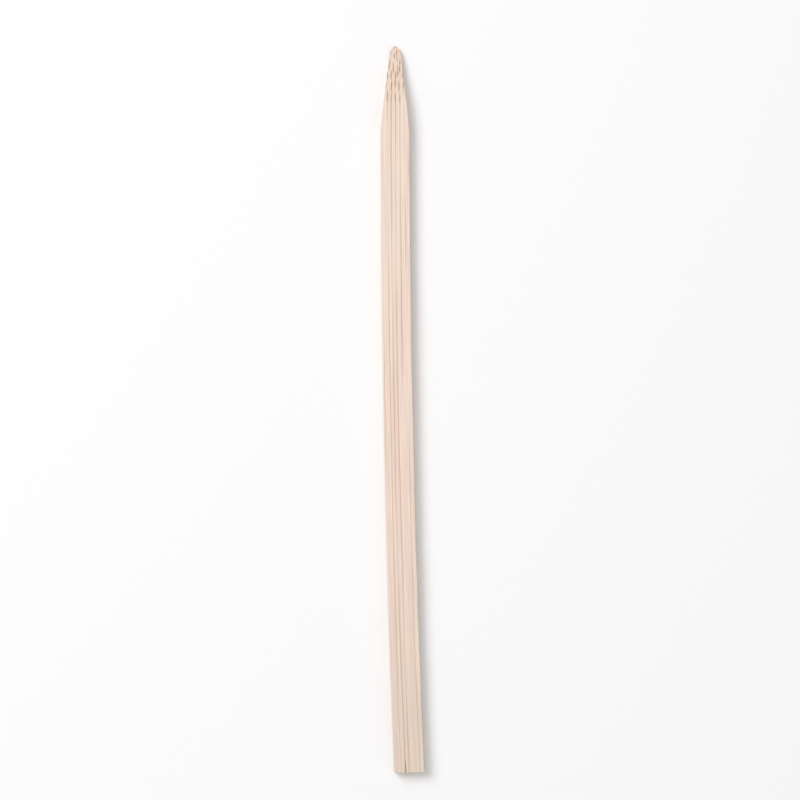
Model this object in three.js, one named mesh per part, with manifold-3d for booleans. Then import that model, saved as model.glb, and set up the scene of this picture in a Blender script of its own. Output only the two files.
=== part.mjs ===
// A flat bamboo skewer: one strip of culm wall, 150 mm long, with the culm's green skin left on
// the face it lies on and the other wide face planed flat. One end is ground to a point, the
// other is cut square.
//
// It is modelled in the order in which it is made. A planed strip comes first, and two outlines
// then cut it to length and grind its point: the plan outline, which is what is seen from above,
// and the side outline, which is what is seen along the wide faces. The solid is what all share.
//
// Millimetres, +Z up. X runs across the width, +Y along the length towards the point, and the
// skin faces down. The origin is the centre of the footprint, on the surface it lies on.

import * as THREE from 'three';
import { mergeVertices } from 'three/addons/utils/BufferGeometryUtils.js';
import Module from 'manifold-3d';

const { degToRad } = THREE.MathUtils;

// The strip
const STICK_LENGTH = 150;
const STICK_WIDTH = 6.1;
const STICK_THICKNESS = 3;
const CULM_RADIUS = 45; // of the culm it was split from, which gives the skin its crown
const ARRIS_RADIUS = 0.25; // the long edges, eased by tumbling
const SWEEP = 0.85; // sideways bow over the whole length, as split bamboo has
const BUTT_EASE = 0.2; // the cut end's edges, slightly rubbed

// The point seen from above, with lengths measured back from the tip
const POINT_LENGTH = 19.5; // the narrow sides are ground over this length
const NOSE_LENGTH = 3.2; // the last, steeper stretch
const NOSE_WIDTH = 2.7; // width where that stretch starts
const NOSE_LEAN = degToRad(4.5); // lean of the flanks where they meet it
const NOSE_BLUNTNESS = 0.7; // how broadly the tip is rounded

// The point seen from the side
const FACE_GRIND_LENGTH = 13; // the long bevel on the planed face
const FACE_GRIND_LEAN = degToRad(10.5); // its lean at the tip
const SKIN_GRIND_LENGTH = 6.5; // the short bevel that takes the skin off the tip
const SKIN_GRIND_DEPTH = 0.35;
const SKIN_GRIND_LEAN = degToRad(3.5);
const TIP_THICKNESS = 0.7; // left between the two bevels
const TIP_ROUNDING = 0.6; // length over which that edge is rounded
const TIP_BLUNTNESS = 0.15; // how broadly it is rounded

// The cutting outlines
const SHOULDER_LEAN = degToRad(2); // lean at which a grind leaves the face it cuts
const SHOULDER_REACH = 0.25; // share of a flank's chord over which it keeps to that lean
const NOSE_REACH = 0.38; // share over which it comes in at the lean of its far end
const OVERRUN = 4; // how far a cutter runs past the strip
const CURVE_STEPS = 14; // straight steps in each curve
const SECTION_STEPS = 3; // steps in each arris and in the crown, odd so that its middle is level
const SWEEP_STEPS = 4; // straight stretches that the bow is drawn with, in pairs about mid length

const TIP = STICK_LENGTH / 2;
const BUTT = -STICK_LENGTH / 2;
const HALF_WIDTH = STICK_WIDTH / 2;

const library = await Module();
library.setup();

// A closed geometry as a solid that can be cut.
function solidOf(geometry) {
  const bare = geometry.clone();
  bare.deleteAttribute('normal');
  bare.deleteAttribute('uv');
  const merged = mergeVertices(bare, 1e-5);
  return new library.Manifold(
    new library.Mesh({
      numProp: 3,
      vertProperties: merged.getAttribute('position').array,
      triVerts: new Uint32Array(merged.index.array),
    }),
  );
}

// A solid as a geometry again, with flat-shaded faces.
function geometryOf(solid) {
  const { vertProperties, triVerts } = solid.getMesh();
  const shared = new THREE.BufferGeometry();
  shared.setAttribute('position', new THREE.BufferAttribute(vertProperties, 3));
  shared.setIndex(new THREE.BufferAttribute(triVerts, 1));
  const faceted = shared.toNonIndexed();
  faceted.computeVertexNormals();
  return faceted;
}

// Bows a geometry sideways: a slice moves by a parabola of its place along the strip.
function sweep(geometry) {
  const position = geometry.getAttribute('position');
  for (let i = 0; i < position.count; i += 1) {
    const along = position.getY(i) / TIP;
    position.setX(i, position.getX(i) - SWEEP * (1 - along * along));
  }
  return geometry;
}

// The strip's section as (across, up): crowned skin below, planed face above, eased arrises.
function stripSection() {
  const crown = CULM_RADIUS - Math.sqrt(CULM_RADIUS ** 2 - HALF_WIDTH ** 2);
  const ease = Math.min(ARRIS_RADIUS, HALF_WIDTH / 2, (STICK_THICKNESS - crown) / 2);
  const inner = HALF_WIDTH - ease;
  const crownEnd = crown * (inner / HALF_WIDTH) ** 2;
  return new THREE.Shape()
    .moveTo(-inner, crownEnd)
    .quadraticCurveTo(0, -crownEnd, inner, crownEnd)
    .quadraticCurveTo(HALF_WIDTH, crown, HALF_WIDTH, crown + ease)
    .lineTo(HALF_WIDTH, STICK_THICKNESS - ease)
    .quadraticCurveTo(HALF_WIDTH, STICK_THICKNESS, inner, STICK_THICKNESS)
    .lineTo(-inner, STICK_THICKNESS)
    .quadraticCurveTo(-HALF_WIDTH, STICK_THICKNESS, -HALF_WIDTH, STICK_THICKNESS - ease)
    .lineTo(-HALF_WIDTH, crown + ease)
    .quadraticCurveTo(-HALF_WIDTH, crown, -inner, crownEnd);
}

// The planed strip, which runs past both ends of the skewer.
function strip() {
  const length = STICK_LENGTH + 2 * OVERRUN;
  const geometry = new THREE.ExtrudeGeometry(stripSection(), {
    depth: length,
    steps: SWEEP_STEPS,
    curveSegments: SECTION_STEPS,
    bevelEnabled: false,
  });
  geometry.rotateX(Math.PI / 2); // the section's up becomes +Z and its depth runs along -Y
  geometry.translate(0, length / 2, 0);
  return sweep(geometry);
}

// One ground flank, as points (out, along), from the shoulder where it leaves the strip's face
// to where it meets the nose. Leans are angles to the length, towards the middle of the strip.
function flank(shoulder, end, endLean) {
  const chord = shoulder.distanceTo(end);
  const leave = new THREE.Vector2(-Math.sin(SHOULDER_LEAN), Math.cos(SHOULDER_LEAN));
  const arrive = new THREE.Vector2(-Math.sin(endLean), Math.cos(endLean));
  const curve = new THREE.CubicBezierCurve(
    shoulder,
    shoulder.clone().addScaledVector(leave, SHOULDER_REACH * chord),
    end.clone().addScaledVector(arrive, -NOSE_REACH * chord),
    end,
  );
  return [shoulder.clone().addScaledVector(leave, -OVERRUN), ...curve.getPoints(CURVE_STEPS)];
}

// The rounded end after a flank, as points (out, along), up to the tip itself.
function nose(start, startLean, tip, bluntness) {
  const leave = new THREE.Vector2(-Math.sin(startLean), Math.cos(startLean));
  const curve = new THREE.CubicBezierCurve(
    start,
    start.clone().addScaledVector(leave, (tip.y - start.y) / 2),
    new THREE.Vector2(tip.x + bluntness, tip.y),
    tip,
  );
  return curve.getPoints(CURVE_STEPS).slice(1);
}

// The cutter's edge beside the strip, as points (out, along): the eased corner of the cut end,
// then well clear of the strip's face until its flank starts.
function besideStrip(face, flankStart) {
  return [
    new THREE.Vector2(face - BUTT_EASE, BUTT),
    new THREE.Vector2(face + BUTT_EASE, BUTT + 2 * BUTT_EASE),
    new THREE.Vector2(face + OVERRUN, BUTT + 2 * BUTT_EASE),
    new THREE.Vector2(face + OVERRUN, flankStart),
  ];
}

// Joins the edge on one side and the edge on the other, both drawn from butt to tip.
function outline(right, left) {
  return new THREE.Shape([...right, ...left.slice(0, -1).reverse()]);
}

// What is seen from above, as (across, along): the same on both sides.
function planOutline() {
  const shoulder = new THREE.Vector2(HALF_WIDTH, TIP - POINT_LENGTH);
  const noseStart = new THREE.Vector2(NOSE_WIDTH / 2, TIP - NOSE_LENGTH);
  const ground = flank(shoulder, noseStart, NOSE_LEAN);
  const right = [
    ...besideStrip(HALF_WIDTH, ground[0].y),
    ...ground,
    ...nose(noseStart, NOSE_LEAN, new THREE.Vector2(0, TIP), NOSE_BLUNTNESS),
  ];
  const left = right.map((point) => new THREE.Vector2(-point.x, point.y));
  return outline(right, left);
}

// The side outline's edge along one wide face, as points (out, along), with its bevel ground down
// from the face to the edge of the rounded tip.
function sideEdge(face, grindLength, edge, lean, tip) {
  const shoulder = new THREE.Vector2(face, TIP - grindLength);
  const roundingStart = new THREE.Vector2(edge, TIP - TIP_ROUNDING);
  const ground = flank(shoulder, roundingStart, lean);
  return [
    ...besideStrip(face, ground[0].y),
    ...ground,
    ...nose(roundingStart, lean, tip, TIP_BLUNTNESS),
  ];
}

// What is seen along the wide faces, as (up, along): a long bevel on the planed face and a short
// one on the skin, which leave the tip low in the thickness.
function sideOutline() {
  const tipTop = SKIN_GRIND_DEPTH + TIP_THICKNESS;
  const tipHeight = SKIN_GRIND_DEPTH + TIP_THICKNESS / 2;
  const upper = sideEdge(
    STICK_THICKNESS,
    FACE_GRIND_LENGTH,
    tipTop,
    FACE_GRIND_LEAN,
    new THREE.Vector2(tipHeight, TIP),
  );
  const lower = sideEdge(
    0,
    SKIN_GRIND_LENGTH,
    -SKIN_GRIND_DEPTH,
    SKIN_GRIND_LEAN,
    new THREE.Vector2(-tipHeight, TIP),
  ).map((point) => new THREE.Vector2(-point.x, point.y));
  return outline(upper, lower);
}

// The plan outline as a cutter, carried through the thickness and bowed like the strip.
function planCutter() {
  const geometry = new THREE.ExtrudeGeometry(planOutline(), {
    depth: STICK_THICKNESS + 2 * OVERRUN,
    bevelEnabled: false,
  });
  geometry.translate(0, 0, -OVERRUN);
  return sweep(geometry);
}

// The side outline as a cutter, carried through the width.
function sideCutter() {
  const width = STICK_WIDTH + 2 * (SWEEP + OVERRUN);
  const geometry = new THREE.ExtrudeGeometry(sideOutline(), { depth: width, bevelEnabled: false });
  geometry.rotateY(-Math.PI / 2); // the outline's up becomes +Z and its depth runs along -X
  geometry.translate(width / 2, 0, 0);
  return geometry;
}

// The skewer's form: the strip, cut by both outlines and set down on its footprint's centre.
function skewerGeometry() {
  const ground = solidOf(strip()).intersect(solidOf(planCutter())).intersect(solidOf(sideCutter()));
  const geometry = geometryOf(ground);
  geometry.computeBoundingBox();
  const { min, max } = geometry.boundingBox;
  geometry.translate(-(min.x + max.x) / 2, -(min.y + max.y) / 2, -min.z);
  return geometry;
}

const bamboo = new THREE.MeshStandardMaterial({
  color: 0xe9d4c5, // pale planed bamboo
  roughness: 0.62,
  metalness: 0,
});

const skewer = new THREE.Mesh(skewerGeometry(), bamboo);
skewer.name = 'skewer';

const group = new THREE.Group();
group.add(skewer);

export default group;
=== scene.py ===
"""A flat bamboo skewer on a pale table.

The skewer is one closed skin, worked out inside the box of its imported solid: a planed strip of
culm wall, bowed a little sideways, with a point ground at one end and a sawn butt at the other.
The strip's fibre bundles run through the whole of it, so each one shows as a line where a face
runs along it, as a fleck where the grind crosses it and as a dot on the sawn butt.

Sizes are millimetres until the mesh is made. X runs across the strip, Y along it towards the
point and Z up. Distances along the strip are mostly given back from the tip.
"""

import logging
import math
from dataclasses import dataclass
from enum import Enum
from typing import Any

import bpy
import numpy as np
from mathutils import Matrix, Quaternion, Vector


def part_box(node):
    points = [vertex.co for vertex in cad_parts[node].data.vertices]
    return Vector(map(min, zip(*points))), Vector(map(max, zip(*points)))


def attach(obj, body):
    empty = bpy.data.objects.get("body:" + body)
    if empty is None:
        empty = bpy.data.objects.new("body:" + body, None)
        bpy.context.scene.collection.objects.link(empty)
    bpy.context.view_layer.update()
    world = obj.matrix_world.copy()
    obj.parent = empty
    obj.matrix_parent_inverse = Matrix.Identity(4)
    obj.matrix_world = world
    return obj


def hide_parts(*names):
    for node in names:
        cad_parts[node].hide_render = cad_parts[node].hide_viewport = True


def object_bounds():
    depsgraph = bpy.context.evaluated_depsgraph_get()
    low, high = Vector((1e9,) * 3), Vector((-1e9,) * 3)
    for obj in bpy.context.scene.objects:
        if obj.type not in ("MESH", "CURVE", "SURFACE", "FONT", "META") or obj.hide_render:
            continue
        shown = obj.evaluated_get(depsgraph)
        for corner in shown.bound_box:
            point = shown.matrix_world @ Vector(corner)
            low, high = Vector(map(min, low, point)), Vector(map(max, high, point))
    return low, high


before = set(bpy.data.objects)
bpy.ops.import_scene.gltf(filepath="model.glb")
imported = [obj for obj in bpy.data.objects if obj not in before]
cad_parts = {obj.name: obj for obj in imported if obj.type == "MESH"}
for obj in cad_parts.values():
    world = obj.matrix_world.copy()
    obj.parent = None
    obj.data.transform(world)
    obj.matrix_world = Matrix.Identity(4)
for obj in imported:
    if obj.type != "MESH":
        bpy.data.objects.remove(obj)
cad_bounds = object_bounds()

MM = 0.001
TURN = 2 * math.pi
QUARTER = TURN / 4

log = logging.getLogger("skewer")


class Layer(Enum):
    """The values that the mesh carries at each corner for its finish."""

    GRAIN = "grain"  # place in the straight strip in mm: across, along, up from the skin
    BUNDLE = "bundle"  # how fully a corner lies in a fibre bundle, 0 to 1
    CUT = "cut"  # how squarely the face crosses the fibres, 0 along them to 1 across
    SPLIT = "split"  # how deep a corner lies in the drying split, 0 to 1


def smooth_step(low: float, high: float, value: np.ndarray) -> np.ndarray:
    """Eases a value from 0 at low to 1 at high.

    The share t of the way is limited to 0 to 1, and the result is t squared times (3 less 2 t).

    Args:
        low: Value at which the result is 0.
        high: Value at which the result is 1, which may be below low.
        value: Values to ease.

    Returns:
        The eased share, of the same shape.
    """
    share = np.clip((value - low) / (high - low), 0.0, 1.0)
    return share * share * (3.0 - 2.0 * share)


def bezier(points: list[tuple[float, float]], steps: int) -> np.ndarray:
    """Points on a cubic Bezier curve.

    With t the share of the way and s = 1 - t, the four points weigh s cubed, 3 s squared t,
    3 s t squared and t cubed.

    Args:
        points: The curve's two ends with its two handles between them.
        steps: Number of steps along the curve.

    Returns:
        An array of steps + 1 points.
    """
    t = np.linspace(0.0, 1.0, steps + 1)[:, None]
    s = 1.0 - t
    start, leave, arrive, end = np.array(points)
    return s**3 * start + 3 * s**2 * t * leave + 3 * s * t**2 * arrive + t**3 * end


@dataclass(frozen=True)
class GroundEdge:
    """One edge of the ground point, from the strip's face to the tip.

    A flank leaves the face at a slight lean and a nose rounds off the last stretch, both as cubic
    curves. Heights are measured out from the strip's middle or from its skin.
    """

    face: float
    flank_length: float
    nose_height: float
    nose_length: float
    nose_lean: float
    tip_height: float
    bluntness: float
    shoulder_lean: float = math.radians(2)
    shoulder_reach: float = 0.25
    nose_reach: float = 0.38
    steps: int = 300

    def heights(self, back: np.ndarray) -> np.ndarray:
        """Height of the edge at distances back from the tip.

        Args:
            back: Distances back from the tip.

        Returns:
            Heights, constant from the shoulder on.
        """
        shoulder = np.array([self.face, self.flank_length])
        nose = np.array([self.nose_height, self.nose_length])
        chord = float(np.linalg.norm(shoulder - nose))
        leave = -np.array([math.sin(self.shoulder_lean), math.cos(self.shoulder_lean)])
        arrive = -np.array([math.sin(self.nose_lean), math.cos(self.nose_lean)])
        flank = bezier(
            [
                tuple(shoulder),
                tuple(shoulder + leave * self.shoulder_reach * chord),
                tuple(nose - arrive * self.nose_reach * chord),
                tuple(nose),
            ],
            self.steps,
        )
        rounding = bezier(
            [
                tuple(nose),
                tuple(nose + arrive * self.nose_length / 2),
                (self.tip_height + self.bluntness, 0.0),
                (self.tip_height, 0.0),
            ],
            self.steps,
        )
        edge = np.vstack([flank, rounding[1:]])[::-1]
        return np.interp(back, edge[:, 1], edge[:, 0])


@dataclass(frozen=True)
class FibreRelief:
    """The fine ridges that planing and grinding leave along the fibres."""

    seed: int
    waves: int = 18
    shortest: float = 0.16
    longest: float = 0.8
    drift: float = 2.2
    drift_length: tuple[float, float] = (14.0, 70.0)
    evenness: float = 2.0  # how many times their mean size the ridges are divided by

    def ridges(self, across: np.ndarray, along: np.ndarray, up: np.ndarray) -> np.ndarray:
        """Height of the ridges, about -1 to 1.

        The height is a sum of sines of the place in the section, whose phases drift slowly along
        the strip, so ridges run lengthwise, wander and fade.

        Args:
            across: Places across the strip.
            along: Places along it.
            up: Places up from the skin.

        Returns:
            Heights, of the same shape.
        """
        rng = np.random.default_rng(self.seed)
        total = np.zeros_like(across)
        weight = 0.0
        for _ in range(self.waves):
            length = math.exp(rng.uniform(math.log(self.shortest), math.log(self.longest)))
            heading = rng.uniform(0.0, TURN)
            place = (across * math.cos(heading) + up * math.sin(heading)) / length
            slow = np.sin(TURN * along / rng.uniform(*self.drift_length) + rng.uniform(0.0, TURN))
            size = math.sqrt(length)
            total += size * np.sin(TURN * place + rng.uniform(0.0, TURN) + self.drift * slow)
            weight += size * size / 2
        return total / (self.evenness * math.sqrt(weight))


@dataclass(frozen=True)
class FibreBundles:
    """The culm's fibre bundles, small and close under the skin, larger and wider apart inside.

    They stand in rows, each at a depth from the skin, staggered from row to row. The innermost
    row lies just under the planed face, at places named one by one, since these show as lines.
    """

    half_width: float
    row_depths: tuple[float, ...] = (0.2, 0.42, 0.68, 0.96, 1.26, 1.56, 1.88, 2.2, 2.54)
    row_spacings: tuple[float, ...] = (0.34, 0.4, 0.48, 0.56, 0.64, 0.72, 0.78, 0.84, 0.9)
    inner_places: tuple[float, ...] = (-1.55, -0.8, 0.04, 1.04, 2.08)
    inner_depths: tuple[float, ...] = (2.9, 2.9, 2.92, 2.8, 2.8)
    inner_leans: tuple[float, ...] = (0.0, 0.0, 0.0, 0.003, -0.003)  # rise towards the tip
    outer_radii: tuple[float, float] = (0.065, 0.09)  # across and up, in the row under the skin
    inner_radii: tuple[float, float] = (0.1, 0.2)
    radius_spread: tuple[float, float] = (0.8, 1.2)
    least_radius: float = 0.04
    jitter: float = 0.13  # share of its row's spacing by which a bundle stands off its place
    depth_jitter: float = 0.065
    wander: tuple[float, float] = (0.05, 0.11)  # across and up
    wander_length: tuple[float, float] = (45.0, 130.0)
    seed: int = 23

    def places(self) -> np.ndarray:
        """Where each bundle runs.

        Returns:
            One row a bundle: its place across, its depth at mid length, its rise towards the tip
            as a share of the length, and its radii across and up.
        """
        rng = np.random.default_rng(self.seed)
        rows = []
        for index, (depth, spacing) in enumerate(zip(self.row_depths, self.row_spacings)):
            count = int(2 * self.half_width / spacing) + 2
            across = (np.arange(count) - count / 2 + 0.5 * (index % 2)) * spacing
            across = across + rng.normal(0.0, self.jitter * spacing, count)
            depths = depth + rng.normal(0.0, self.depth_jitter, count)
            rows.append(np.column_stack([across, depths, np.zeros(count)]))
        rows.append(np.column_stack([self.inner_places, self.inner_depths, self.inner_leans]))
        spots = np.vstack(rows)
        outermost, innermost = self.row_depths[0], max(self.inner_depths)
        share = (spots[:, 1:2] - outermost) / (innermost - outermost)
        radii = np.array(self.outer_radii) * (1 - share) + np.array(self.inner_radii) * share
        radii = radii * rng.uniform(*self.radius_spread, radii.shape)
        return np.column_stack([spots, np.maximum(radii, self.least_radius)])

    def field(self, across: np.ndarray, along: np.ndarray, depth: np.ndarray) -> np.ndarray:
        """How fully each place lies in a bundle.

        A bundle counts exp(-q squared), where q is the squared distance from its middle in units
        of its radii. Its middle rises by its lean times the place along the strip, and wanders by
        slow sines. The fullest counts.

        Args:
            across: Places across the strip.
            along: Places along it.
            depth: Places up from the skin.

        Returns:
            Values from 0 to 1, of the same shape.
        """
        rng = np.random.default_rng(self.seed + 1)
        total = np.zeros_like(across)
        for middle, deep, lean, wide, high in self.places():
            sway = TURN * along / rng.uniform(*self.wander_length) + rng.uniform(0.0, TURN)
            lift = TURN * along / rng.uniform(*self.wander_length) + rng.uniform(0.0, TURN)
            aside = (across - middle - self.wander[0] * np.sin(sway)) / wide
            above = (depth - deep - lean * along - self.wander[1] * np.sin(lift)) / high
            total = np.maximum(total, np.exp(-((aside**2 + above**2) ** 2)))
        return total


@dataclass(frozen=True)
class Section:
    """The points round the strip's section: four faces that eased arrises join.

    A point is the corner of an inner rectangle, or a place on its side, moved out by the arris
    radius along its own normal. The ring starts at the middle of the upper left arris and runs
    over the upper face, down the right side, back under the skin and up the left side.
    """

    wide_points: int = 92
    narrow_points: int = 34
    arris_steps: int = 4

    def run(
        self, start: tuple[float, float], end: tuple[float, float], angle: float, points: int
    ) -> np.ndarray:
        """One face with half an arris at each end.

        Args:
            start: Inner corner that the face starts from.
            end: Inner corner that it runs to.
            angle: Heading of the first point's normal.
            points: Number of points on the face between its arrises.

        Returns:
            One row a point: its share of the inner rectangle and its normal.
        """
        half = self.arris_steps // 2
        turn = QUARTER / self.arris_steps
        share = np.linspace(0.0, 1.0, points + 2)[1:-1]
        share = np.concatenate([np.zeros(half + 1), share, np.ones(half + 1)])[:, None]
        first = angle - turn * np.arange(half + 1)
        flat = np.full(points, angle - QUARTER / 2)
        heading = np.concatenate([first, flat, first - QUARTER / 2])
        inner = np.array(start) * (1 - share) + np.array(end) * share
        return np.column_stack([inner, np.cos(heading), np.sin(heading)])

    def ring(self) -> np.ndarray:
        """The whole ring.

        Returns:
            One row a point, as in a run, without the points that two runs share.
        """
        corners = [(-1.0, 1.0), (1.0, 1.0), (1.0, -1.0), (-1.0, -1.0)]
        runs = []
        for index, corner in enumerate(corners):
            points = (self.wide_points, self.narrow_points)[index % 2]
            following = corners[(index + 1) % 4]
            runs.append(self.run(corner, following, (1.5 - index) * QUARTER, points)[:-1])
        return np.vstack(runs)

    def cap_border(self) -> tuple[int, int]:
        """Number of points on a wide run and on a narrow run, shared corners included."""
        half = self.arris_steps // 2
        return self.wide_points + 2 * half + 2, self.narrow_points + 2 * half + 2


@dataclass(frozen=True)
class Stations:
    """How closely the sections stand along the skewer, from the tip to the butt."""

    nose_sections: int = 26
    nose_reach: float = 1.2
    ground_step: float = 0.15
    ground_reach: float = 21.0
    plain_step: float = 0.86
    butt_step: float = 0.24
    butt_reach: float = 6.0
    ease_steps: int = 6
    clear: float = 1.5  # how many radii before the butt the rubbed edge has the strip to itself

    def spread(self, length: float, ease: float) -> tuple[np.ndarray, np.ndarray]:
        """Where the sections stand.

        They close up by a square law at the tip, are even along the grind, wide apart on the
        plain strip and close again at the butt, whose rubbed edge is a quarter round.

        Args:
            length: Length of the skewer.
            ease: Radius of the butt's rubbed edge.

        Returns:
            Distances back from the tip, and how far each section is drawn in all round.
        """
        nose = self.nose_reach * np.linspace(0.0, 1.0, self.nose_sections + 1)[1:] ** 2
        ground = np.arange(self.nose_reach + self.ground_step, self.ground_reach, self.ground_step)
        plain = np.arange(self.ground_reach, length - self.butt_reach, self.plain_step)
        near_butt = np.arange(length - self.butt_reach, length - self.clear * ease, self.butt_step)
        angle = np.linspace(0.0, QUARTER, self.ease_steps + 1)
        eased = length - ease * (1 - np.sin(angle))
        back = np.concatenate([nose, ground, plain, near_butt, eased])
        drawn_in = np.zeros_like(back)
        drawn_in[-len(angle) :] = ease * (1 - np.cos(angle))
        return back, drawn_in


@dataclass(frozen=True)
class Surface:
    """The relief of one kind of face, in millimetres."""

    ridges: float  # height of the ridges along the fibres
    bundles: float  # how proud the fibre bundles stand, below nought where they are pitted
    back: float = 0.0  # how far the face stands back, so that its relief stays in the box


@dataclass(frozen=True)
class Split:
    """The drying split that runs in from the butt, on the planed face."""

    place: float = -0.7
    length: float = 4.2
    full_length: float = 0.6  # over which it's fully open
    depth: float = 0.34
    width: float = 0.038
    reach: float = 0.95  # down through the strip
    full_reach: float = 0.24
    waver: float = 0.05
    waver_rates: tuple[float, float] = (1.7, 5.0)  # radians a millimetre, along and down

    def shape(self, across: np.ndarray, to_butt: np.ndarray, under_face: np.ndarray) -> np.ndarray:
        """How deep each place lies in the split.

        It's a narrow bell across the strip about a line that wavers. It fades away from the butt
        and reaches only part of the way down through the strip.

        Args:
            across: Places across the strip.
            to_butt: Distances from the butt.
            under_face: Distances below the planed face.

        Returns:
            Values from 0 to 1.
        """
        lengthwise, downwards = self.waver_rates
        sway = np.sin(lengthwise * to_butt) + np.sin(downwards * under_face)
        bell = np.exp(-(((across - self.place - self.waver * sway) / self.width) ** 2))
        along = smooth_step(self.length, self.full_length, to_butt)
        down = smooth_step(self.reach, self.full_reach, under_face)
        return bell * along * down


@dataclass(frozen=True)
class Skewer:
    """The skewer's form and its skin."""

    left: float
    right: float
    butt: float
    tip: float
    floor: float
    top: float
    width: float = 6.1
    culm_radius: float = 45.0
    arris_radius: float = 0.25
    ground_arris_radius: float = 0.08
    arris_change: tuple[float, float] = (4.0, -2.0)  # where it starts and ends, past the bevel
    arris_waver: float = 0.35  # share by which the arris radius wavers
    arris_limit: float = 0.45  # share of the section that an arris may take up
    butt_ease: float = 0.16
    face_waver: float = 0.03  # how far a planed face wanders from its true plane
    steady_length: float = 30.0  # over which that wander comes in, back from the point
    waver_length: tuple[float, float] = (17.0, 90.0)
    waver_sines: int = 3
    waver_seeds: tuple[int, int, int] = (5, 6, 7)  # of the width, the planed face, the arrises
    arris_waver_rate: float = 4.0  # how many times quicker the arrises wander
    point_length: float = 19.5
    nose_length: float = 3.2
    nose_width: float = 2.7
    nose_lean: float = math.radians(4.5)
    nose_bluntness: float = 0.7
    face_grind_length: float = 13.0
    face_grind_lean: float = math.radians(10.5)
    skin_grind_length: float = 6.5
    skin_grind_depth: float = 0.35
    skin_grind_lean: float = math.radians(3.5)
    tip_thickness: float = 0.7
    tip_rounding: float = 0.6
    tip_bluntness: float = 0.15
    nicks: int = 26
    nick_depth: tuple[float, float] = (0.03, 0.08)
    nick_length: tuple[float, float] = (0.5, 2.2)
    nick_width: float = 0.3
    nick_seed: int = 41
    ridge_seed: int = 3
    sawn_crossing: tuple[float, float] = (0.4, 0.9)  # how squarely a sawn face crosses the fibres
    ground_crossing: tuple[float, float] = (0.03, 0.14)
    skin_depth: float = 0.06  # how far from the skin a face still counts as skin
    planed: Surface = Surface(0.006, 0.008, 0.028)
    ground: Surface = Surface(0.012, -0.022)
    skin: Surface = Surface(0.004, 0.0)
    sawn: Surface = Surface(0.016, -0.04, 0.03)
    split: Split = Split()
    stations: Stations = Stations()
    section: Section = Section()

    @classmethod
    def in_box(cls, node: str) -> "Skewer":
        """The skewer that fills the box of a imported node.

        Args:
            node: Name of the node.

        Returns:
            The skewer, in millimetres.
        """
        low, high = (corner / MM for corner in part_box(node))
        return cls(low.x, high.x, low.y, high.y, low.z, high.z)

    def centre(self, along: np.ndarray) -> np.ndarray:
        """Place of the strip's middle line across the box.

        The bow is a parabola: the full bow at mid length and none at the ends.

        Args:
            along: Places along the skewer.

        Returns:
            Places across.
        """
        share = (2 * along - self.tip - self.butt) / self.length
        bow = self.right - self.left - self.width
        return self.right - self.width / 2 - bow * (1 - share**2)

    @property
    def length(self) -> float:
        """Length from the butt to the tip."""
        return self.tip - self.butt

    @property
    def thickness(self) -> float:
        """Thickness from the skin's lowest line to the planed face."""
        return self.top - self.floor

    @property
    def tip_height(self) -> float:
        """Height of the tip above the skin's lowest line."""
        return self.skin_grind_depth + self.tip_thickness / 2

    def plan_edge(self) -> GroundEdge:
        """The outline seen from above.

        Returns:
            The edge, with heights out from the strip's middle line.
        """
        return GroundEdge(
            face=self.width / 2,
            flank_length=self.point_length,
            nose_height=self.nose_width / 2,
            nose_length=self.nose_length,
            nose_lean=self.nose_lean,
            tip_height=0.0,
            bluntness=self.nose_bluntness,
        )

    def face_edge(self) -> GroundEdge:
        """The long bevel on the planed face, seen from the side.

        Returns:
            The edge, with heights up from the skin's lowest line.
        """
        return GroundEdge(
            face=self.thickness,
            flank_length=self.face_grind_length,
            nose_height=self.skin_grind_depth + self.tip_thickness,
            nose_length=self.tip_rounding,
            nose_lean=self.face_grind_lean,
            tip_height=self.tip_height,
            bluntness=self.tip_bluntness,
        )

    def skin_edge(self) -> GroundEdge:
        """The short bevel on the skin, seen from the side.

        Returns:
            The edge, with heights down from the skin's lowest line.
        """
        return GroundEdge(
            face=0.0,
            flank_length=self.skin_grind_length,
            nose_height=-self.skin_grind_depth,
            nose_length=self.tip_rounding,
            nose_lean=self.skin_grind_lean,
            tip_height=-self.tip_height,
            bluntness=self.tip_bluntness,
        )

    def waver(self, back: np.ndarray, seed: int) -> np.ndarray:
        """A slow wander along the strip, from 0 to 1.

        The mean of a few slow sines, moved up by 1 and halved.

        Args:
            back: Distances back from the tip.
            seed: Seed of the sines.

        Returns:
            Values from 0 to 1.
        """
        rng = np.random.default_rng(seed)
        total = np.zeros_like(back)
        for _ in range(self.waver_sines):
            turns = back / rng.uniform(*self.waver_length)
            total += np.sin(TURN * turns + rng.uniform(0.0, TURN))
        return (total / self.waver_sines + 1) / 2

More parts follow.
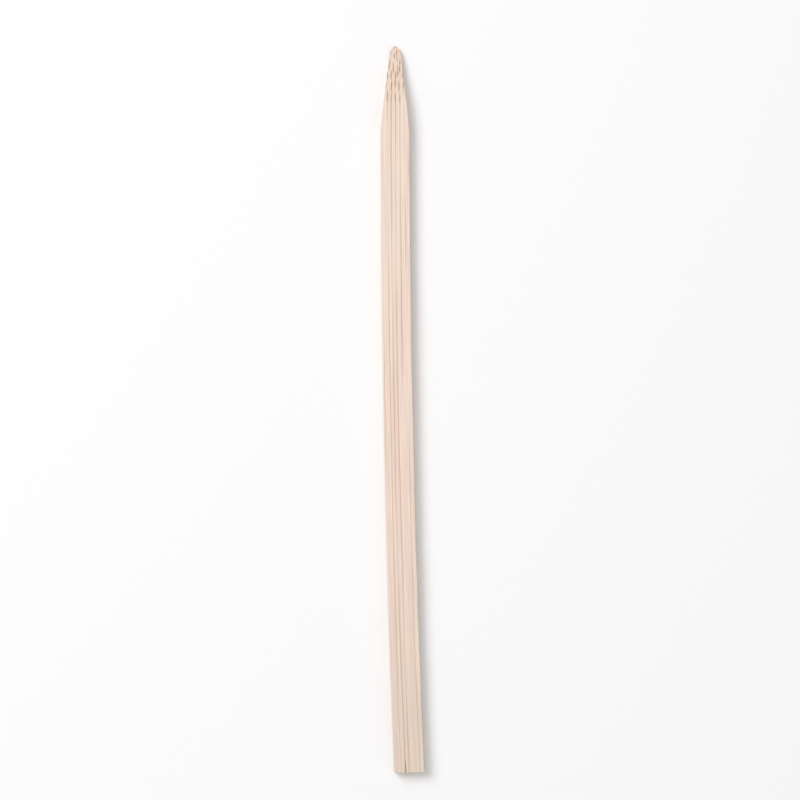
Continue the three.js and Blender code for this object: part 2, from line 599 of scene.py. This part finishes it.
    def straight_skin(self) -> np.ndarray:
        """The skin of the straight strip, before relief and bow.

        At each section the ring is stretched to the outlines' width and height. The skin's crown,
        a parabola across the strip, lifts the lower face where the grind hasn't cut deeper, and
        its lift fades to nothing at the upper face.

        Returns:
            Places (section, ring point, xyz).
        """
        back, drawn_in = self.stations.spread(self.length, self.butt_ease)
        ring = self.section.ring()
        half_width = self.plan_edge().heights(back) - drawn_in
        upper = self.face_edge().heights(back) - drawn_in
        lower = -self.skin_edge().heights(back) + drawn_in
        bevel = self.face_grind_length
        plain = self.face_waver * smooth_step(bevel / 2, self.steady_length, back)
        width_seed, face_seed, arris_seed = self.waver_seeds
        half_width = half_width - plain * self.waver(back, width_seed)
        upper = upper - plain * self.waver(back, face_seed)
        before, after = self.arris_change
        bevelled = smooth_step(bevel + before, bevel + after, back)
        arris = self.arris_radius * (1 - bevelled) + self.ground_arris_radius * bevelled
        thinned = self.arris_waver * self.waver(self.arris_waver_rate * back, arris_seed)
        arris = arris * (1 - thinned)
        arris = np.minimum(arris, self.arris_limit * np.minimum(half_width, (upper - lower) / 2))
        inner_width = (half_width - arris)[:, None]
        middle = ((upper + lower) / 2)[:, None]
        inner_height = ((upper - lower) / 2 - arris)[:, None]
        across = ring[:, 0] * inner_width + ring[:, 2] * arris[:, None]
        high = middle + ring[:, 1] * inner_height + ring[:, 3] * arris[:, None]
        crown = across**2 / (2 * self.culm_radius)
        lift = np.maximum(0.0, crown - lower[:, None])
        share = (high - lower[:, None]) / (upper - lower)[:, None]
        high = high + lift * (1 - np.clip(share, 0.0, 1.0))
        along = np.broadcast_to((self.tip - back)[:, None], across.shape)
        return np.stack([across, along, high], axis=-1)

    @staticmethod
    def grid_normals(places: np.ndarray) -> np.ndarray:
        """Normals of a grid that closes on itself round the ring.

        Each is the cross product of the steps to the neighbours along the strip and round it.

        Args:
            places: Places (section, ring point, xyz).

        Returns:
            Unit normals that point outwards.
        """
        lengthwise = np.gradient(places, axis=0)
        around = np.roll(places, -1, axis=1) - np.roll(places, 1, axis=1)
        normal = np.cross(lengthwise, around)
        return normal / np.linalg.norm(normal, axis=-1, keepdims=True)

    def dents(self, across: np.ndarray, back: np.ndarray, high: np.ndarray) -> np.ndarray:
        """Small nicks along the four arrises.

        Each is a bell along the strip and about its arris.

        Args:
            across: Places across the strip.
            back: Distances back from the tip.
            high: Places up.

        Returns:
            How far the skin is pressed in.
        """
        rng = np.random.default_rng(self.nick_seed)
        total = np.zeros_like(across)
        for _ in range(self.nicks):
            side = rng.choice([-1.0, 1.0]) * self.width / 2
            level = rng.choice([0.0, self.thickness])
            place = rng.uniform(self.point_length, self.length)
            length = rng.uniform(*self.nick_length)
            size = rng.uniform(*self.nick_depth)
            near = ((across - side) ** 2 + (high - level) ** 2) / self.nick_width**2
            total += size * np.exp(-near - ((back - place) / length) ** 2)
        return total

    def butt_grid(self, border: np.ndarray) -> tuple[np.ndarray, np.ndarray]:
        """The sawn face's inner points.

        A Coons patch: a point is the mean of its row's ends and of its column's ends by its
        share of the way, less the mean of the four corners counted twice.

        Args:
            border: The last section's ring of places.

        Returns:
            Index of each grid point, and the places of the new inner ones. Indexes count from
            the ring's own start, with the inner points after it.
        """
        wide, narrow = self.section.cap_border()
        count = len(border)
        index = np.zeros((narrow, wide), dtype=int)
        index[-1] = np.arange(wide)
        index[::-1, -1] = np.arange(wide - 1, wide + narrow - 1)
        index[0, ::-1] = np.arange(wide + narrow - 2, 2 * wide + narrow - 2)
        index[:, 0] = np.arange(2 * wide + narrow - 3, 2 * (wide + narrow) - 3) % count
        u = np.linspace(0.0, 1.0, wide)[None, 1:-1, None]
        v = np.linspace(0.0, 1.0, narrow)[1:-1, None, None]
        low, high = border[index[0]], border[index[-1]]
        left, right = border[index[:, 0]], border[index[:, -1]]
        inner = (
            (1 - v) * low[None, 1:-1]
            + v * high[None, 1:-1]
            + (1 - u) * left[1:-1, None]
            + u * right[1:-1, None]
            - (1 - u) * (1 - v) * low[0]
            - u * (1 - v) * low[-1]
            - (1 - u) * v * high[0]
            - u * v * high[-1]
        )
        inside = (narrow - 2, wide - 2)
        index[1:-1, 1:-1] = count + np.arange(inside[0] * inside[1]).reshape(inside)
        return index, inner.reshape(-1, 3)

    def relief(
        self, corners: np.ndarray, outward: np.ndarray, layers: dict[Layer, np.ndarray]
    ) -> np.ndarray:
        """How far each corner is moved out along its normal.

        Each kind of face takes its own share of the ridges and the bundles. A face is sawn or
        ground by how squarely it crosses the fibres, and skin where it lies at no depth. The
        nicks and the split go off that, and all of it fades out at the very tip.

        Args:
            corners: Places in the straight strip.
            outward: Normals there.
            layers: Values of the layers at the corners.

        Returns:
            Distances.
        """
        across, along, high = corners.T
        back = self.tip - along
        depth = layers[Layer.GRAIN][:, 2]
        crossing = np.abs(outward[:, 1])
        sawn = smooth_step(*self.sawn_crossing, crossing)
        ground = smooth_step(*self.ground_crossing, crossing) * (1 - sawn)
        skin = smooth_step(self.skin_depth, 0.0, depth) * (1 - sawn)
        planed = (1 - skin) * (1 - ground) * (1 - sawn)
        ridges = FibreRelief(self.ridge_seed).ridges(across, along, depth)
        total = -self.dents(across, back, high) - self.split.depth * layers[Layer.SPLIT]
        kinds = [(self.planed, planed), (self.ground, ground), (self.skin, skin), (self.sawn, sawn)]
        for face, share in kinds:
            rise = face.ridges * ridges + face.bundles * layers[Layer.BUNDLE] - face.back
            total = total + share * rise
        return total * smooth_step(0.0, self.tip_rounding, back)

    def build(self) -> bpy.types.Object:
        """Makes the skewer's mesh with its layers.

        Returns:
            The object, at the origin, with its place in its mesh.
        """
        places = self.straight_skin()
        sections, points = places.shape[:2]
        index, inner = self.butt_grid(places[-1])
        corners = np.vstack([[[0.0, self.tip, self.tip_height]], places.reshape(-1, 3), inner])
        pole_normal = np.array([[0.0, 1.0, 0.0]])
        cap_normals = np.tile([0.0, -1.0, 0.0], (len(inner), 1))
        ring_normals = self.grid_normals(places).reshape(-1, 3)
        outward = np.vstack([pole_normal, ring_normals, cap_normals])
        across, along, high = corners.T
        depth = high - across**2 / (2 * self.culm_radius)
        layers = {
            Layer.GRAIN: np.column_stack([across, along, depth]),
            Layer.BUNDLE: FibreBundles(self.width / 2).field(across, along, depth),
            Layer.CUT: np.abs(outward[:, 1]),
            Layer.SPLIT: self.split.shape(across, along - self.butt, self.thickness - depth),
        }
        moved = corners + outward * self.relief(corners, outward, layers)[:, None]
        moved[:, 2] += self.floor - moved[:, 2].min()
        moved[:, 0] += self.centre(moved[:, 1])
        ring = 1 + np.arange(sections * points).reshape(sections, points)
        beside = np.roll(ring, -1, axis=1)
        walls = np.stack([ring[:-1], ring[1:], beside[1:], beside[:-1]], axis=-1)
        cap = index + 1 + (sections - 1) * points
        sawn = np.stack([cap[:-1, :-1], cap[:-1, 1:], cap[1:, 1:], cap[1:, :-1]], axis=-1)
        quads = np.vstack([walls.reshape(-1, 4), sawn.reshape(-1, 4)])
        fan = np.stack([np.zeros(points, dtype=int), ring[0], beside[0]], axis=-1)
        return mesh_object("bamboo_skewer", moved * MM, quads, fan, layers)


def mesh_object(
    name: str,
    corners: np.ndarray,
    quads: np.ndarray,
    triangles: np.ndarray,
    layers: dict[Layer, np.ndarray],
) -> bpy.types.Object:
    """Makes a smooth mesh object from arrays.

    Args:
        name: Name of the object and its mesh.
        corners: Places of the corners in metres.
        quads: Faces with four corners.
        triangles: Faces with three corners.
        layers: Values at the corners, by layer, one or three each.

    Returns:
        The object, linked to the scene.
    """
    mesh = bpy.data.meshes.new(name)
    mesh.vertices.add(len(corners))
    mesh.vertices.foreach_set("co", corners.ravel())
    loops = np.concatenate([quads.ravel(), triangles.ravel()]).astype(np.int32)
    mesh.loops.add(len(loops))
    mesh.loops.foreach_set("vertex_index", loops)
    starts = np.concatenate(
        [4 * np.arange(len(quads)), 4 * len(quads) + 3 * np.arange(len(triangles))]
    )
    mesh.polygons.add(len(starts))
    mesh.polygons.foreach_set("loop_start", starts.astype(np.int32))
    mesh.update(calc_edges=True)
    mesh.polygons.foreach_set("use_smooth", np.ones(len(starts), dtype=bool))
    for layer, values in layers.items():
        kind, field = ("FLOAT_VECTOR", "vector") if values.ndim == 2 else ("FLOAT", "value")
        attribute = mesh.attributes.new(layer.value, kind, "POINT")
        attribute.data.foreach_set(field, values.astype(np.float32).ravel())
    mesh.validate()
    made = bpy.data.objects.new(name, mesh)
    bpy.context.scene.collection.objects.link(made)
    return made


def linear(colour: str) -> tuple[float, float, float, float]:
    """Turns an sRGB hex colour to linear light.

    A channel up to 0.04045 is divided by 12.92. Above that it is (channel + 0.055) / 1.055 to the
    power 2.4.

    Args:
        colour: The colour, as #RRGGBB.

    Returns:
        Red, green, blue and an alpha of 1.
    """
    channels = np.array([int(colour[at : at + 2], 16) for at in (1, 3, 5)]) / 255
    light = np.where(channels <= 0.04045, channels / 12.92, ((channels + 0.055) / 1.055) ** 2.4)
    return (*light.tolist(), 1.0)


def add_node(
    tree: bpy.types.NodeTree, kind: str, inputs: dict[Any, Any], **settings: Any
) -> bpy.types.Node:
    """Adds a node, sets its properties, and gives its inputs values or links.

    Args:
        tree: Node tree to add to.
        kind: Type name of the node.
        inputs: For an input's name or number, a value, or another node's output to link.
        **settings: Properties of the node.

    Returns:
        The node.
    """
    node = tree.nodes.new(kind)
    for name, value in settings.items():
        setattr(node, name, value)
    for name, value in inputs.items():
        if isinstance(value, bpy.types.NodeSocket):
            tree.links.new(value, node.inputs[name])
        else:
            node.inputs[name].default_value = value
    return node


class Tint(Enum):
    """The bamboo's colours, with painted shade towards the butt and in the drying split."""

    CREAM = "#EEDCCC"
    PEACH = "#EFD6C8"
    RIND_SIDE = "#DFCBB0"  # the wood close under the skin
    BUTT = "#F4F6F4"  # painted shade: multiplied in towards the butt, darkening it a little as the light falls off there
    GROUND = "#FCF9F6"  # multiplied in where the point is ground
    END_GRAIN = "#DCC6AE"
    LINE = "#C59A76"  # a fibre bundle along a planed face
    FLECK = "#96704F"  # a bundle that the grind crosses
    DOT = "#9A7857"  # a bundle on the sawn butt
    OLIVE = "#A5A488"
    TAN = "#B5A27E"
    GREY = "#989C8E"
    # painted shade inside the drying split
    SPLIT = "#5B4332"


@dataclass(frozen=True)
class Noise:
    """Noise drawn out along the strip and carried softly from one range to another."""

    width: float  # of its marks across the strip, in millimetres
    stretch: float  # how many times as long they are along it
    detail: float
    low: float  # the noise at which it has its first value
    high: float  # the noise at which it has its last value
    first: float = 0.0
    last: float = 1.0


class Figure(Enum):
    """The scales of the bamboo's figure, from its broad bands to its threads.

    A single fibre is about 0.015 mm wide, too fine to show, so threads and fibres are drawn four
    or five times as coarse.
    """

    BAND = Noise(1.3, 60.0, 1.5, 0.36, 0.64)
    STREAK = Noise(0.16, 90.0, 3.0, 0.25, 0.75, 0.9, 1.06)
    THREAD = Noise(0.07, 70.0, 2.0, 0.25, 0.75, 0.95, 1.05)
    FIBRE = Noise(0.07, 45.0, 2.0, 0.0, 1.0)
    SKIN_CLOUD = Noise(1.6, 11.0, 3.0, 0.36, 0.72)
    SKIN_BLOOM = Noise(2.2, 7.0, 2.0, 0.44, 0.76, 0.0, 0.7)
    SKIN_SCRATCH = Noise(0.11, 160.0, 2.0, 0.3, 0.7, 0.93, 1.06)


class Reading(Enum):
    """The values that the finish follows over the strip."""

    CUT = "cut"
    ALONG = "along"
    DEPTH = "depth"


class Ramp(Enum):
    """How parts of the finish follow a reading: from where, to where, and the values there."""

    GROUND = (Reading.CUT, 0.02, 0.12, 0.0, 1.0)
    SAWN = (Reading.CUT, 0.4, 0.9, 0.0, 1.0)
    BUNDLE = (Reading.CUT, 0.02, 0.08, 0.72, 1.0)
    ROUGHNESS = (Reading.CUT, 0.03, 0.2, 0.58, 0.72)
    # painted shade: darkens the wood towards the butt, standing in for the light falling off there
    BUTT = (Reading.ALONG, -20.0, -75.0, 0.0, 1.0)
    RIND_SIDE = (Reading.DEPTH, 0.0, 1.6, 0.9, 0.0)
    SKIN = (Reading.DEPTH, 0.02, 0.2, 1.0, 0.0)


@dataclass(frozen=True)
class PlanedBamboo:
    """Bare bamboo, planed, ground at the point and sawn at the butt, with its green skin below.

    To the eye it's pale peach and cream in soft bands along the grain, matt, with thin darker
    lines where the fibre bundles surface, brown flecks on the bevels and dots on the sawn end.
    The skin is olive, mottled and a little glossy.
    """

    skin_roughness: float = 0.4
    fibre_strength: float = 0.5  # share of the fibres' relief that the light sees
    fibre_height: float = 0.03  # of that relief, in millimetres

    def figures(
        self, tree: bpy.types.NodeTree, grain: bpy.types.NodeSocket
    ) -> dict[Figure, bpy.types.NodeSocket]:
        """Adds the bamboo's figure to the material.

        For each scale, the place in the strip is divided by the width of the marks, and along the
        strip by their length, before the noise is read and carried to its range.

        Args:
            tree: The material's node tree.
            grain: Places in the straight strip, in millimetres.

        Returns:
            The value of each scale.
        """
        values = {}
        for figure in Figure:
            noise = figure.value
            scale = (1 / noise.width, 1 / (noise.width * noise.stretch), 1 / noise.width)
            scaled = {0: grain, 1: scale}
            place = add_node(tree, "ShaderNodeVectorMath", scaled, operation="MULTIPLY")
            look = {"Vector": place.outputs[0], "Scale": 1.0, "Detail": noise.detail}
            texture = add_node(tree, "ShaderNodeTexNoise", look)
            spans = (texture.outputs["Fac"], noise.low, noise.high, noise.first, noise.last)
            inputs = dict(enumerate(spans))
            node = add_node(tree, "ShaderNodeMapRange", inputs, interpolation_type="SMOOTHSTEP")
            values[figure] = node.outputs[0]
        return values

    def ramps(
        self, tree: bpy.types.NodeTree, readings: dict[Reading, bpy.types.NodeSocket]
    ) -> dict[Ramp, bpy.types.NodeSocket]:
        """Adds the ramps to the material, each with soft ends.

        Args:
            tree: The material's node tree.
            readings: The values that the ramps follow.

        Returns:
            The value of each ramp.
        """
        values = {}
        for ramp in Ramp:
            follows, *spans = ramp.value
            inputs = {0: readings[follows], **dict(enumerate(spans, 1))}
            node = add_node(tree, "ShaderNodeMapRange", inputs, interpolation_type="SMOOTHSTEP")
            values[ramp] = node.outputs[0]
        return values

    def colour(
        self,
        tree: bpy.types.NodeTree,
        layers: dict[Layer, bpy.types.Node],
        figures: dict[Figure, bpy.types.NodeSocket],
        ramps: dict[Ramp, bpy.types.NodeSocket],
    ) -> bpy.types.NodeSocket:
        """Lays the material's colour coat by coat.

        The bundles' own colour comes first, then the skin's, then the wood's with its painted shade
        towards the butt, over which the other two and the painted shade inside the split are laid.

        Args:
            tree: The material's node tree.
            layers: The nodes that read the mesh's layers.
            figures: The value of each scale of the figure.
            ramps: The value of each ramp.

        Returns:
            The colour.
        """
        pairs = {
            "streaks": (figures[Figure.STREAK], figures[Figure.THREAD]),
            "bundles": (layers[Layer.BUNDLE].outputs["Fac"], ramps[Ramp.BUNDLE]),
        }
        product = {}
        for name, pair in pairs.items():
            node = add_node(tree, "ShaderNodeMath", dict(enumerate(pair)), operation="MULTIPLY")
            product[name] = node.outputs[0]
        greys = {"streaks": product["streaks"], "scratches": figures[Figure.SKIN_SCRATCH]}
        paint: dict[Any, Any] = {tint: linear(tint.value) for tint in Tint}
        for name, grey in greys.items():
            node = add_node(tree, "ShaderNodeCombineColor", {0: grey, 1: grey, 2: grey})
            paint[name] = node.outputs[0]
        coats = [
            ("bundle", Tint.LINE, ramps[Ramp.GROUND], Tint.FLECK, "MIX"),
            ("bundle", "bundle", ramps[Ramp.SAWN], Tint.DOT, "MIX"),
            ("skin", Tint.OLIVE, figures[Figure.SKIN_CLOUD], Tint.TAN, "MIX"),
            ("skin", "skin", figures[Figure.SKIN_BLOOM], Tint.GREY, "MIX"),
            ("skin", "skin", 1.0, "scratches", "MULTIPLY"),
            ("wood", Tint.CREAM, figures[Figure.BAND], Tint.PEACH, "MIX"),
            ("wood", "wood", ramps[Ramp.RIND_SIDE], Tint.RIND_SIDE, "MIX"),
            # painted shade towards the butt, where the light falls off
            ("wood", "wood", ramps[Ramp.BUTT], Tint.BUTT, "MULTIPLY"),
            ("wood", "wood", 1.0, "streaks", "MULTIPLY"),
            ("wood", "wood", ramps[Ramp.GROUND], Tint.GROUND, "MULTIPLY"),
            ("wood", "wood", ramps[Ramp.SAWN], Tint.END_GRAIN, "MIX"),
            ("wood", "wood", product["bundles"], "bundle", "MIX"),
            ("wood", "wood", ramps[Ramp.SKIN], "skin", "MIX"),
            # painted shade inside the drying split
            ("wood", "wood", layers[Layer.SPLIT].outputs["Fac"], Tint.SPLIT, "MIX"),
        ]
        for name, under, share, over, blend in coats:
            inputs = {0: share, 6: paint[under], 7: paint[over]}
            node = add_node(tree, "ShaderNodeMix", inputs, data_type="RGBA", blend_type=blend)
            paint[name] = node.outputs[2]
        return paint["wood"]

    def material(self) -> bpy.types.Material:
        """Builds the material.

        Returns:
            The material, which reads the mesh's own layers.
        """
        made = bpy.data.materials.new("planed_bamboo")
        made.use_nodes = True
        tree = made.node_tree
        layers = {
            layer: add_node(tree, "ShaderNodeAttribute", {}, attribute_name=layer.value)
            for layer in Layer
        }
        grain = layers[Layer.GRAIN].outputs["Vector"]
        place = add_node(tree, "ShaderNodeSeparateXYZ", {0: grain})
        readings = {
            Reading.CUT: layers[Layer.CUT].outputs["Fac"],
            Reading.ALONG: place.outputs["Y"],
            Reading.DEPTH: place.outputs["Z"],
        }
        figures = self.figures(tree, grain)
        ramps = self.ramps(tree, readings)
        matt = {0: ramps[Ramp.SKIN], 2: ramps[Ramp.ROUGHNESS], 3: self.skin_roughness}
        relief = {
            "Strength": self.fibre_strength,
            "Distance": self.fibre_height * MM,
            "Height": figures[Figure.FIBRE],
        }
        inputs = {
            "Base Color": self.colour(tree, layers, figures, ramps),
            "Roughness": add_node(tree, "ShaderNodeMix", matt, data_type="FLOAT").outputs[0],
            "Normal": add_node(tree, "ShaderNodeBump", relief).outputs[0],
        }
        shader = tree.nodes["Principled BSDF"]
        for name, value in inputs.items():
            tree.links.new(value, shader.inputs[name])
        return made


@dataclass(frozen=True)
class MattPaper:
    """Pale uncoated paper, which fades to a slightly cooler white far out.

    To the eye it's an even near-white with no gloss. The fade is for the camera alone, so the
    skewer keeps its shadow and no edge of the paper shows.
    """

    colour: str = "#FCFCFD"
    far_colour: str = "#FBFCFE"
    roughness: float = 0.9
    fade: tuple[float, float] = (0.1, 0.45)  # from the skewer's middle, in metres

    def material(self) -> bpy.types.Material:
        """Builds the material.

        Returns:
            The material, which mixes in a white glow by the distance from the middle.
        """
        made = bpy.data.materials.new("matt_pale_paper")
        made.use_nodes = True
        tree = made.node_tree
        shader = tree.nodes["Principled BSDF"]
        shader.inputs["Base Color"].default_value = linear(self.colour)
        shader.inputs["Roughness"].default_value = self.roughness
        shader.inputs["Specular IOR Level"].default_value = 0.0
        place = add_node(tree, "ShaderNodeTexCoord", {}).outputs["Object"]
        away = add_node(tree, "ShaderNodeVectorMath", {0: place}, operation="LENGTH")
        reach = {0: away.outputs["Value"], 1: self.fade[0], 2: self.fade[1]}
        far = add_node(tree, "ShaderNodeMapRange", reach, interpolation_type="SMOOTHSTEP")
        path = add_node(tree, "ShaderNodeLightPath", {})
        both = {0: far.outputs[0], 1: path.outputs["Is Camera Ray"]}
        share = add_node(tree, "ShaderNodeMath", both, operation="MULTIPLY")
        glow = add_node(tree, "ShaderNodeEmission", {"Color": linear(self.far_colour)})
        blend = {0: share.outputs[0], 1: shader.outputs[0], 2: glow.outputs[0]}
        surface = add_node(tree, "ShaderNodeMixShader", blend)
        tree.links.new(surface.outputs[0], tree.nodes["Material Output"].inputs["Surface"])
        return made


@dataclass(frozen=True)
class Table:
    """The table that the skewer lies on, a plain flat top."""

    size: float = 6.0  # of a side, in metres
    finish: MattPaper = MattPaper()

    def build(self) -> bpy.types.Object:
        """Makes the table top at the height of the skewer's lowest point.

        Returns:
            The table.
        """
        half = self.size / 2
        corners = [(-half, -half, 0), (half, -half, 0), (half, half, 0), (-half, half, 0)]
        mesh = bpy.data.meshes.new("table")
        mesh.from_pydata(corners, [], [(0, 1, 2, 3)])
        mesh.materials.append(self.finish.material())
        top = bpy.data.objects.new("table", mesh)
        bpy.context.scene.collection.objects.link(top)
        return top


class Lamp(Enum):
    """The studio's two soft lamps: place in metres, side length in metres and power in watts."""

    KEY = ((-0.62, 0.42, 0.95), 0.7, 8.7)
    FILL = ((0.7, -0.5, 0.8), 0.9, 1.6)


@dataclass(frozen=True)
class Studio:
    """Plain soft light at a level at which colours render about as they are written."""

    sky: float = 0.5  # strength at which the world lights the skewer
    backdrop: float = 1.0  # strength at which it is seen, directly or in a gloss

    def build(self) -> None:
        """Sets the lamps and the world."""
        for lamp in Lamp:
            place, side, power = lamp.value
            light = bpy.data.lights.new(lamp.name.lower(), "AREA")
            light.energy = power
            light.size = side
            holder = bpy.data.objects.new(lamp.name.lower(), light)
            holder.location = place
            holder.rotation_euler = (-Vector(place)).to_track_quat("-Z", "Y").to_euler()
            bpy.context.scene.collection.objects.link(holder)
        world = bpy.data.worlds.new("studio")
        world.use_nodes = True
        bpy.context.scene.world = world
        tree = world.node_tree
        path = add_node(tree, "ShaderNodeLightPath", {})
        seen = path.outputs["Is Camera Ray"]
        for ray in ("Is Glossy Ray", "Is Transmission Ray"):
            either = {0: seen, 1: path.outputs[ray]}
            seen = add_node(tree, "ShaderNodeMath", either, operation="MAXIMUM").outputs[0]
        levels = {0: seen, 3: self.sky, 4: self.backdrop}
        strength = add_node(tree, "ShaderNodeMapRange", levels)
        background = tree.nodes["Background"]
        background.inputs["Color"].default_value = (1.0, 1.0, 1.0, 1.0)
        tree.links.new(strength.outputs[0], background.inputs["Strength"])
        bpy.context.scene.view_settings.view_transform = "Standard"


@dataclass(frozen=True)
class Viewpoint:
    """The camera: nearly straight above, a little towards the butt, with the point up."""

    distance: float = 0.4
    elevation: float = math.radians(82.5)
    roll: float = math.radians(1.1)
    lens: float = 88.0

    def build(self, target: Vector) -> bpy.types.Object:
        """Makes the scene's camera.

        Args:
            target: The point that it looks at.

        Returns:
            The camera.
        """
        data = bpy.data.cameras.new("camera")
        data.lens = self.lens
        made = bpy.data.objects.new("camera", data)
        away = Vector((0.0, -math.cos(self.elevation), math.sin(self.elevation)))
        made.location = target + away * self.distance
        upright = (-away).to_track_quat("-Z", "Y")
        made.rotation_euler = (upright @ Quaternion((0.0, 0.0, 1.0), -self.roll)).to_euler()
        bpy.context.scene.collection.objects.link(made)
        bpy.context.scene.camera = made
        return made


def main() -> None:
    """Builds the camera, the stage and the skewer."""
    logging.basicConfig(level=logging.INFO, format="%(name)s: %(message)s")
    low, high = cad_bounds
    Viewpoint().build((Vector(low) + Vector(high)) / 2)
    Studio().build()
    Table().build()
    skewer = Skewer.in_box("skewer").build()
    skewer.data.materials.append(PlanedBamboo().material())
    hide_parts("skewer")
    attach(skewer, "root")
    mesh = skewer.data
    log.info("%s: %d corners, %d faces", skewer.name, len(mesh.vertices), len(mesh.polygons))


if __name__ == "__main__":
    main()
